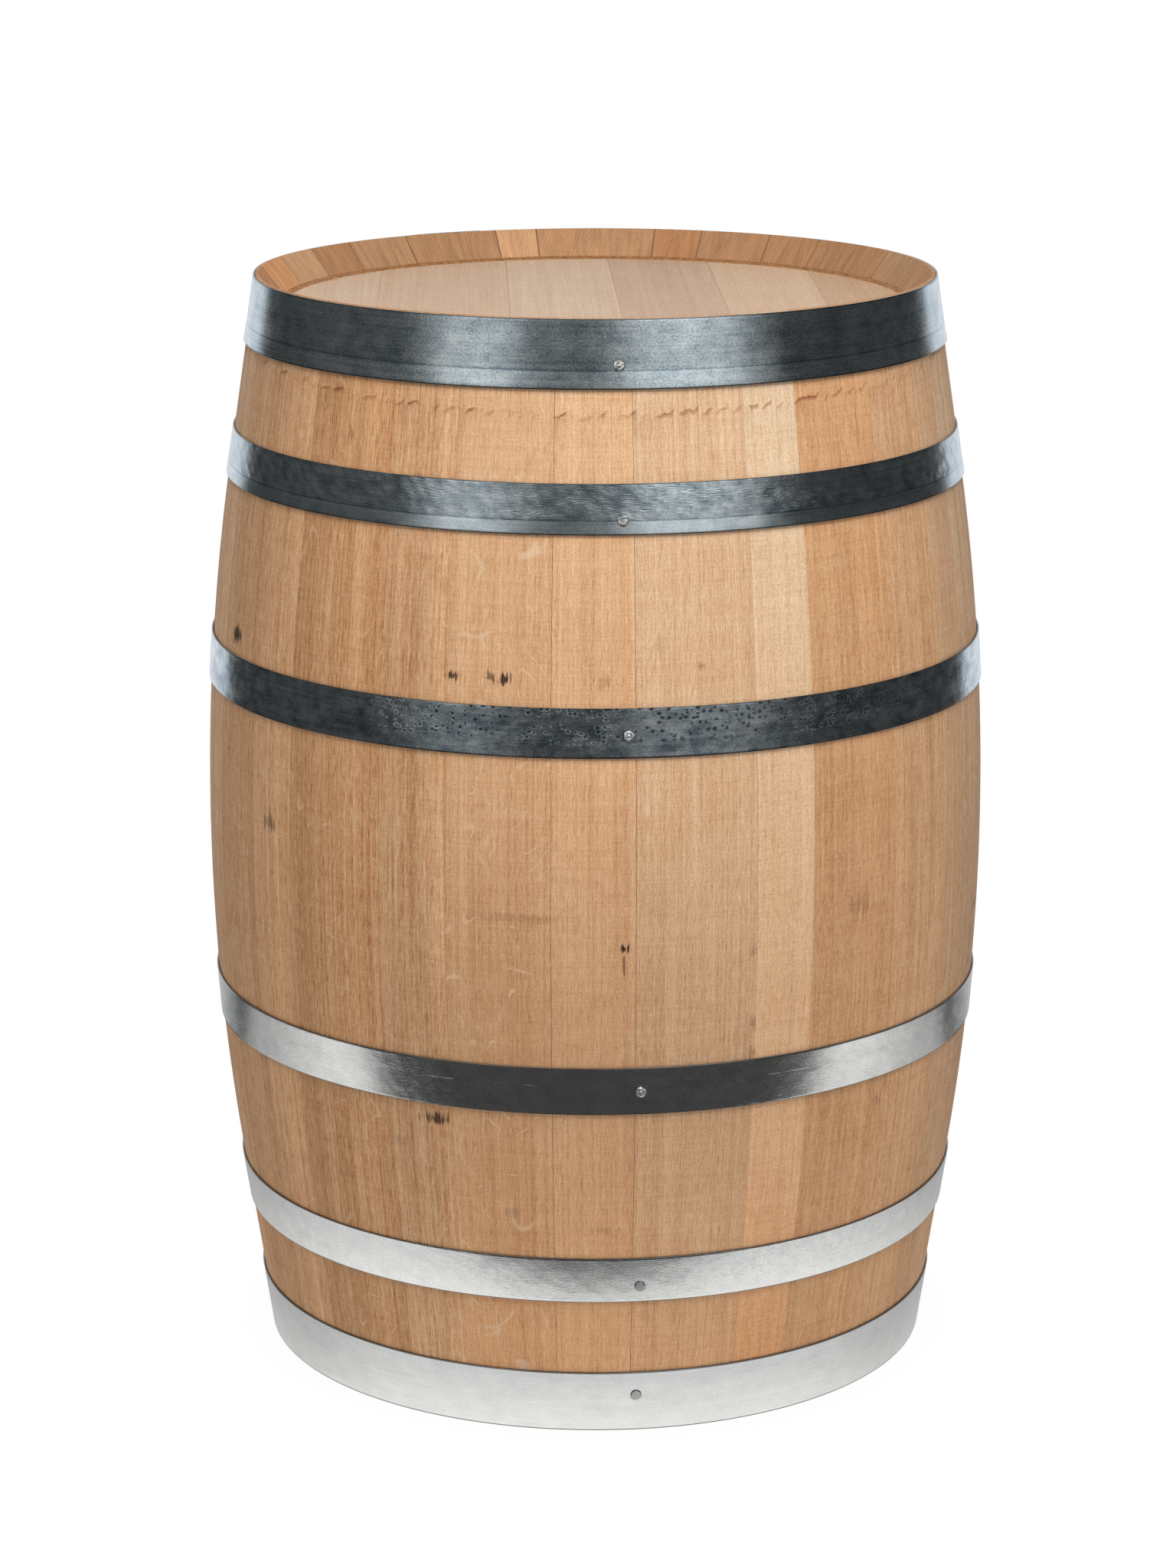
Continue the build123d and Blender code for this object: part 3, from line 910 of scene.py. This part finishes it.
# Fine grain: partly zinc spangle, partly painted glints where rough grains would catch the
# softboxes.
zinc_grain_and_glints = noise(zinc_place, 480, 620, 0, 3, 0.75)
drawn_lines = noise(zinc_place, 5, 380, 0, 3, 0.7)
pit_cells = ragged_cells(zinc_place, (210, 270, 1), 420.0, 2.0, {})
pit_pick = add_node(zinc_coat, "SeparateColor", {0: pit_cells["Color"]})
pit_reach = ramp(pit_pick[1], 0.0, 1.0, 0.2, 0.5)
pits = times(
    ramp(calc("SUBTRACT", pit_cells["Distance"], pit_reach), 0.08, -0.1),
    ramp(pit_pick[0], 0.4, 0.5),
    ramp(noise(zinc_place, 22, 50, 0, 2), 0.34, 0.46),
    ramp(apart(along_strip, pitted_middle), pitted_reach, pitted_reach / 2),
    ramp(across_strip, 0.15, 0.45, 0.15, 1.0),
    zinc_in["Pits"],
)
slanted_place = derive("Mapping", {"Vector": zinc_place, "Rotation": (0, 0, dent_slant)})
small_dents = ragged_cells(
    slanted_place, (75, 120, 1), 60.0, 1.0, {"Smoothness": 0.2}, feature="SMOOTH_F1"
)["Distance"]
under_crease = calc("SUBTRACT", zinc_in["Crease"], across_strip)
dent_depth = times(
    ramp(noise(zinc_place, 14, 40, 0, 2), 0.38, 0.58, 0.35, 1.0),
    zinc_in["Dents"],
    ramp(under_crease, 0.02, -0.04),
)
# Painted sheen: the hollows of the small dents are paler and their rims darker, as if they caught
# the softboxes.
pale_share = plus(0.5, times(calc("SUBTRACT", small_dents, 0.4), dent_depth), dent_painted_sheen)
tone_layers = ((mottle, "Mottle"), (drawn_lines, "Lines"), (zinc_grain_and_glints, "Grain"))
pale_share = layered(pale_share, ((layer, zinc_in[name]) for layer, name in tone_layers))
pale_share = plus(pale_share, calc("SUBTRACT", 0.5, across_strip), zinc_in["Fade"])
# Painted shade: a dark line along the crease.
pale_share = plus(pale_share, ramp(calc("ABSOLUTE", under_crease), 0.022, 0.006), -0.4)
# Painted sheen: the strip below the crease is a little paler.
below_crease_painted_sheen = ramp(under_crease, 0.0, 0.03)
pale_share = calc("MULTIPLY_ADD", below_crease_painted_sheen, 0.08, pale_share, clamp=True)
scratch = times(
    ramp(apart(across_strip, zinc_in["Scratch"]), 0.016, 0.004, 0.0, 0.6),
    ramp(noise(zinc_place, 16, 3, 0, 3, 0.7), 0.52, 0.62),
)
# The cut edges are bare steel, and darker still as painted shadow of the gap along the strip's
# edges.
cut_edge_and_painted_shadow = ramp(apart(across_strip, 0.5), 0.474, 0.486)
zinc_colour = tint(pale_share, zinc_in["Dark"], zinc_in["Pale"])
zinc_colour = tint(times(pits, 0.85), zinc_colour, pit_colour)
zinc_colour = tint(scratch, zinc_colour, scratch_colour)
fill(
    zinc_out,
    {
        "Colour": tint(times(cut_edge_and_painted_shadow, 0.8), zinc_colour, cut_steel_and_shadow_colour),
        "Roughness": plus(plus(plus(0.17, pale_share, 0.06), scratch, 0.5), pits, 0.25),
        "Height": plus(plus(times(zinc_grain_and_glints, 0.02), small_dents, dent_depth), pits, -0.02),
    },
)

# Finish of each hoop: its zinc, from the dark and the pale colour to the height of its scratch,
# and the number of its hammer marks, their sizes and greatest depth, its crease and its flare
# The slate and charcoal zinc of the three upper hoops is partly painted reflection: darker than
# their zinc alone, as the dark room in front is what they mirror.
charcoal_zinc_painted_dark = linear(122, 138, 148)
slate_zinc_painted_dark = linear(126, 144, 154)
grey_zinc = linear(222, 231, 233)
silver_zinc = linear(190, 192, 191)
white_zinc = linear(242, 242, 238)
hoop_finishes = {
    "upper_head_hoop": (
        (slate_zinc_painted_dark, grey_zinc, 1.6, 2.2, 0.9, 0.0, 0.01, 0.27, 0.0, -1.0),
        (70, (0.012, 0.03), 0.0002, 0.27, 0.04),
    ),
    "upper_quarter_hoop": (
        (slate_zinc_painted_dark, grey_zinc, 1.3, 1.0, 0.8, 0.2, 0.12, 0.28, 0.0, -1.0),
        (300, (0.006, 0.014), 0.00016, 0.28, 0.035),
    ),
    "upper_bilge_hoop": (
        (charcoal_zinc_painted_dark, grey_zinc, 2.8, 1.8, 0.9, 1.0, 0.02, -1.0, 0.0, -1.0),
        (350, (0.004, 0.009), 0.0001, 0.0, 0.0),
    ),
    "lower_bilge_hoop": (
        (silver_zinc, white_zinc, 1.0, 1.6, 0.15, 0.0, 0.05, -1.0, 0.0, 0.62),
        (420, (0.005, 0.011), 0.00006, 0.0, 0.0),
    ),
    "lower_quarter_hoop": (
        (silver_zinc, white_zinc, 0.6, 1.4, 0.05, 0.1, 0.045, -1.0, 0.5, -1.0),
        (300, (0.005, 0.012), 0.00004, 0.0, 0.0),
    ),
    "lower_head_hoop": (
        (silver_zinc, white_zinc, 0.6, 0.8, 0.5, 0.0, 0.01, -1.0, 0.7, -1.0),
        (50, (0.01, 0.03), 0.00008, 0.0, 0.0),
    ),
}
for number, (node, (zinc, marks)) in enumerate(hoop_finishes.items()):
    hoop_steel, hoop_tree, hoop_shader = new_material(node + " steel")
    coat = use_group(zinc_coat, attribute(hoop_tree, "strip", "Vector"), float(number), *zinc)
    finish(hoop_shader, *coat, bump=1.0, reach=0.002, metallic=1.0)
    points, place = hoop_surface(node, *marks)
    quads = grid_quads(*points.shape[:2], ring=True)[..., ::-1]
    name = node + "_strip"
    hoop = make_piece(name, points, quads, (hoop_steel,), "barrel", (node,))
    set_values(hoop, "strip", place)
    weld(hoop)


# Nails and rivets: forged steel, driven or set cold by hand, so the heads are uneven, with worn
# bright tops and a painted shade round their edges. Three nails hold each hoop to the staves, and
# two rivets close its lap.
nail_turns = (-86.4, -86.0, -85.4, -83.6, -83.2, -83.4)
nail_drop_shares = (0.16, 0.22, 0.05, 0.01, 0.14, -0.11)
nail_steps = (0.0, 115.0, 240.0)
nail_sizes = dict(head_radius=0.005, head_height=0.0018, shank_radius=0.0015, shank_length=0.02)
nail_roughness = 0.12
rivet_pair_width = 0.028
rivet_sizes = dict(head_radius=0.0055, head_height=0.0024, shank_radius=0.0025)
rivet_roughness = 0.05
rim_height_share = 0.35
rim_undercut = 0.97
punch_reach = 0.32
punch_width = 0.06
punch_depth_share = 0.22
polished_from, polished_to = 0.24, 0.32
pin_columns = 28
head_shares = np.array([0.0, 0.16, 0.26, 0.34, 0.42, 0.55, 0.7, 0.84, 0.94, 1.0])
pin_random = np.random.default_rng(18)
worn_steel = linear(150, 152, 152)
bright_steel = linear(250, 250, 248)
low_steel = linear(180, 181, 178)
rim_painted_shade_steel = linear(52, 53, 54)
pin_steel, pin_tree, pin_shader = new_material("nail steel")
pin_place = add_node(pin_tree, "TexCoord")["Object"]
pin_polish = ramp(parts(pin_place)[2], polished_from, polished_to)
pin_wear = noise(pin_place, 500, 500, 500, 3)
pin_colour = tint(ramp(pin_wear, 0.38, 0.6), worn_steel, bright_steel)
pin_colour = tint(pin_polish, low_steel, pin_colour)
# Painted shade: a dark ring round the edge of each head, where it meets the strip.
pin_rim_painted_shade = ramp(plus(attribute(pin_tree, "rim", "Fac"), pin_wear, -0.5), 0.58, 0.74)
pin_colour = tint(times(pin_rim_painted_shade, 0.85), pin_colour, rim_painted_shade_steel)
pin_rough = ramp(pin_wear, 0.3, 0.7, 0.65, 0.5)
finish(pin_shader, pin_colour, pin_rough, pin_wear, bump=0.4, reach=0.0004, metallic=1.0)


def pin_surface(roughness, head_radius, head_height, shank_radius, shank_length):
    """Points of one headed pin by the way along its profile and by turn, standing on z = 0.

    The head is a low dome, height times the root of 1 - (r/R)^2 over a flat rim, with a square
    hollow from the punch round its middle. Its radius and height vary with the turn by a few
    drawn waves.
    """
    turn = np.linspace(0, 2 * np.pi, pin_columns, endpoint=False)[None, :]
    share = head_shares[:, None]
    waves = sum(
        pin_random.uniform(-1, 1) * np.cos(k * turn + pin_random.uniform(0, 2 * np.pi)) / k
        for k in (2, 3, 5)
    )
    radius = head_radius * share * (1 - roughness * (1 + waves) / 2 * share)
    dome = head_height * (rim_height_share + (1 - rim_height_share) * np.sqrt(1 - share**2))
    square = np.maximum(np.abs(np.cos(turn)), np.abs(np.sin(turn))) * share
    punch_depth = punch_depth_share * head_height * roughness / nail_roughness
    hollow = np.exp(-(((square - punch_reach) / punch_width) ** 2)) * punch_depth
    height = dome * (1 + roughness * waves * share) - hollow
    row = np.ones((1, pin_columns))
    shank = shank_radius * row
    radius = np.concatenate([radius, radius[-1:] * rim_undercut, shank, shank, 0 * row])
    foot = -shank_length * row
    return polar(radius, turn, np.concatenate([height, 0 * row, 0 * row, foot, foot]))


def place_pins(name, node, places, roughness, **sizes):
    """One piece of all the pins, each turned so that its z axis points out of the strip."""
    pins = [pin_surface(roughness, **sizes) for _ in places]
    rows = pins[0].shape[0]
    placed = []
    for pin, (turn, radius, height, lean) in zip(pins, places):
        outward = polar(np.cos(lean), turn, -np.sin(lean))
        sideways = np.array([-np.sin(turn), np.cos(turn), 0.0])
        axes = np.stack([sideways, np.cross(outward, sideways), outward])
        placed.append(polar(radius, turn, height) + pin @ axes)
    first = np.arange(len(pins))[:, None, None, None] * rows * pin_columns
    quads = first + grid_quads(rows, pin_columns)[..., ::-1]
    piece = make_piece(name, np.array(placed), quads, (pin_steel,), "barrel", (node,))
    rim = np.append(head_shares, np.ones(rows - len(head_shares)))
    set_values(piece, "rim", np.tile(np.repeat(rim, pin_columns), len(pins)))
    weld(piece)


nail_places = []
rivet_places = []
for node, turn, drop in zip(hoop_finishes, nail_turns, nail_drop_shares):
    height, radius, lean, width = hoop_frame(node)
    face = hoop_seat_gap + hoop_thickness
    seat = off_staves(height, radius, lean, face, -drop * width)
    nail_places += [(np.radians(turn + step), *seat, lean) for step in nail_steps]
    lap_seat = off_staves(height, radius, lean, face + hoop_thickness, 0.0)
    half_pair = rivet_pair_width / 2 / radius
    rivet_places += [(lap_turn + side * half_pair, *lap_seat, lean) for side in (-1, 1)]
place_pins("hoop_nail_heads", "hoop_nails", nail_places, nail_roughness, **nail_sizes)
rivet_sizes["shank_length"] = 2 * hoop_thickness
place_pins("hoop_rivet_heads", "hoop_rivets", rivet_places, rivet_roughness, **rivet_sizes)


# Bung: a tapered plug turned from one piece of wood, pressed by hand into the hole in the widest
# stave. Its end grain shows at the outer end, and a rounded rim keeps the edge from splitting.
bung_stand = 0.006
bung_length = 0.046
bung_clearance = 0.0003
bung_bevel = 0.002
bung_columns = 64
bung_seed, bung_contrast = 3.0, 1.0
bung_heart = (0.06, 0.0, -mid_height - 0.09)
bung_tone = linear(196, 150, 104)
bung_wood, bung_tree, bung_shader = new_material("bung wood")
bung_object = add_node(bung_tree, "TexCoord")["Object"]
bung_place = derive("Mapping", {"Vector": bung_object, "Location": bung_heart})
bung_figure = use_group(oak_figure, bung_place, bung_seed, bung_contrast, 0.0, 0.0)
bung_rings = derive(
    "TexWave",
    {"Vector": bung_place, "Scale": 90.0, "Distortion": 2.0, "Detail": 2.0, "Detail Scale": 3.0},
    "Fac",
    wave_type="RINGS",
    rings_direction="Y",
)
bung_colour = tint(1.0, bung_tone, plus(0.85, bung_rings, 0.2), "MULTIPLY")
bung_colour = tint(0.8, bung_colour, bung_figure["Shade"], "MULTIPLY")
finish(bung_shader, bung_colour, 0.62, bung_rings, bump=0.25, reach=0.0004, specular=0.3)


def bung_surface():
    """Points of the bung by the way along its profile and by turn about the hole's axis.

    The radius falls by the hole's taper from the outer end inwards, both ends are closed at the
    axis, and the outer rim is a quarter-round of bung_bevel.
    """
    outer_end = bilge_radius + bung_stand
    inner_end = outer_end - bung_length
    bend = np.linspace(0, np.pi / 2, 6)[1:]
    out = np.concatenate(
        [
            np.full(5, outer_end),
            outer_end - bung_bevel * (1 - np.cos(bend)),
            np.linspace(outer_end - bung_bevel, inner_end + bung_bevel / 2, 8)[1:],
            np.full(3, inner_end),
        ]
    )
    radius = bung_hole_radius + (out - bilge_radius) * bung_hole_narrowing - bung_clearance
    radius[:5] = (radius[0] - bung_bevel) * np.linspace(0, 1, 5)
    radius[5:10] -= bung_bevel * (1 - np.sin(bend))
    radius[-3:] = (radius[-1] - bung_bevel / 2) * np.array([1.0, 0.5, 0.0])
    turn = np.linspace(0, 2 * np.pi, bung_columns, endpoint=False)
    x, z, y = np.moveaxis(polar(radius[:, None], turn, out[:, None]), -1, 0)
    return np.stack([x, y, z + mid_height], axis=-1)


points = bung_surface()
quads = grid_quads(len(points), bung_columns)
bung = make_piece("bung_plug", points, quads, (bung_wood,), "bung", ("bung",))
weld(bung)


# Studio: a floor and a sheet on it, both seen as white, one broad soft lamp in front and above, and
# an even dim surround. The metal sees the sheet, two bright and two dim softboxes, a pale ceiling
# and a white wall behind the barrel in an otherwise dark room. Each softbox is given by the bearing
# of its middle, its half width and the reach of its fade in degrees, and its strength.
floor_place = (-30.0, -30.0, 30.0, 30.0, -0.0006)
sheet_place = (-1.4, -0.56, 1.4, 0.5, -0.0002)
room_light = 0.06
even_light = 0.36
wall_start, wall_full = np.radians((137, 142))
softboxes = ((-40, 6, 22, 1.05), (31, 10, 31, 1.1), (5, 20, 60, 0.19), (-80, 15, 45, 0.08))


def studio_plane(name, left, front, right, back, rise, material):
    """A flat rectangle of the stage."""
    mesh = bpy.data.meshes.new(name)
    corners = ((left, front), (right, front), (right, back), (left, back))
    mesh.from_pydata([(*corner, rise) for corner in corners], [], [(0, 1, 2, 3)])
    mesh.materials.append(material)
    plane = add_object(name, mesh)
    return plane


def choose(factor, first, second):
    """The first value, or the second where the factor is one."""
    return derive("Mix", {0: factor, 2: first, 3: second}, data_type="FLOAT")


floor_paint, floor_tree, floor_shader = new_material("studio floor")
fill(floor_shader, {"Base Color": (0.75, 0.75, 0.75, 1.0), "Roughness": 0.9})
floor_path = add_node(floor_tree, "LightPath")
floor_point = add_node(floor_tree, "TexCoord")["Object"]
floor_reach = vector("LENGTH", floor_point, output=1)
floor_depth = parts(floor_point)[1]
# Painted shadow: the sheet that the metal sees is dimmed beside the barrel, where the barrel would
# shade it from the lamp.
barrel_shadow_on_sheet = times(ramp(floor_reach, 0.45, 0.31), ramp(floor_depth, -0.28, -0.12))
# The sheet's glow fades at its front and back edges, and painted shade dims it towards the back.
sheet_light = times(
    ramp(floor_depth, -0.525, -0.465, 0.06, 1.0),
    ramp(floor_depth, 0.34, 0.48, 1.0, 0.25),
    ramp(floor_depth, -0.4, 0.3, 1.0, 0.5),
    plus(1.0, barrel_shadow_on_sheet, -0.22),
)
floor_light = choose(floor_path["Is Glossy Ray"], 1.0, sheet_light)
floor_glow = derive("Emission", {"Color": (1, 1, 1, 1), "Strength": floor_light})
contact_shade = ramp(floor_reach, 0.26, 0.34, 0.94, 1.0)
floor_white = plus(floor_path["Is Glossy Ray"], floor_path["Is Camera Ray"], contact_shade)
floor_mix = derive("MixShader", {0: floor_white, 1: floor_shader.outputs[0], 2: floor_glow})
fill(floor_tree.nodes["Material Output"], {"Surface": floor_mix})
floor = studio_plane("studio_floor", *floor_place, floor_paint)
floor.visible_glossy = False
studio_plane("studio_sheet", *sheet_place, floor_paint)

surround = bpy.data.worlds.new("studio surround")
bpy.context.scene.world = surround
surround.use_nodes = True
sky_tree = surround.node_tree
heading = parts(add_node(sky_tree, "TexCoord")["Generated"])
bearing = calc("ARCTAN2", heading[0], times(heading[1], -1.0))
softbox_rise = ramp(heading[2], -0.28, 0.42)
mirror_light = room_light
for middle, half, fade, strength in softboxes:
    off_box = apart(bearing, np.radians(middle))
    box = ramp(off_box, np.radians(fade), np.radians(half), 0.0, strength)
    mirror_light = plus(mirror_light, box, softbox_rise)
mirror_light = calc("ADD", mirror_light, ramp(heading[2], 0.35, 0.7, 0.0, 0.9))
wall = ramp(calc("ABSOLUTE", bearing), wall_start, wall_full)
wall = times(wall, ramp(heading[2], -0.38, -0.25))
mirror_light = calc("MAXIMUM", mirror_light, wall)
paths = add_node(sky_tree, "LightPath")
plain_light = plus(even_light, paths["Is Camera Ray"], 1.0 - even_light)
wall_tint = times(wall, paths["Is Glossy Ray"])
fill(
    sky_tree.nodes["Background"],
    {
        "Strength": choose(paths["Is Glossy Ray"], plain_light, mirror_light),
        "Color": tint(wall_tint, (1, 1, 1, 1), (0.9, 0.94, 1.0, 1)),
    },
)

key_light = bpy.data.lights.new("soft_key", "AREA")
key_light.shape = "RECTANGLE"
key_light.size, key_light.size_y = 1.8, 1.2
key_light.energy = 50.0
key = add_object("soft_key", key_light)
key.location = (0.2, -1.45, 2.7)
key.rotation_euler = (np.radians(38), 0.0, np.radians(7))
key.visible_glossy = False


# Camera: it stands in front and above, tilted down, as measured from the outline of the barrel
# and its hoops. The picture is shifted so that the barrel's axis falls on its own column.
camera_distance = 3.64887
camera_height = 1.43276
camera_tilt = 0.252272
focal_pixels = 5536.19
picture_width, picture_height = 1536, 2048
axis_column = 777.54
sensor = 36.0
camera_data = bpy.data.cameras.new("camera")
camera_data.sensor_width = sensor
camera_data.lens = focal_pixels * sensor / picture_height
camera_data.shift_x = -(axis_column - picture_width / 2) / picture_height
camera = add_object("camera", camera_data)
camera.location = (0.0, -camera_distance, camera_height)
camera.rotation_euler = (np.pi / 2 - camera_tilt, 0.0, 0.0)
bpy.context.scene.camera = camera
bpy.context.scene.view_settings.view_transform = "Standard"
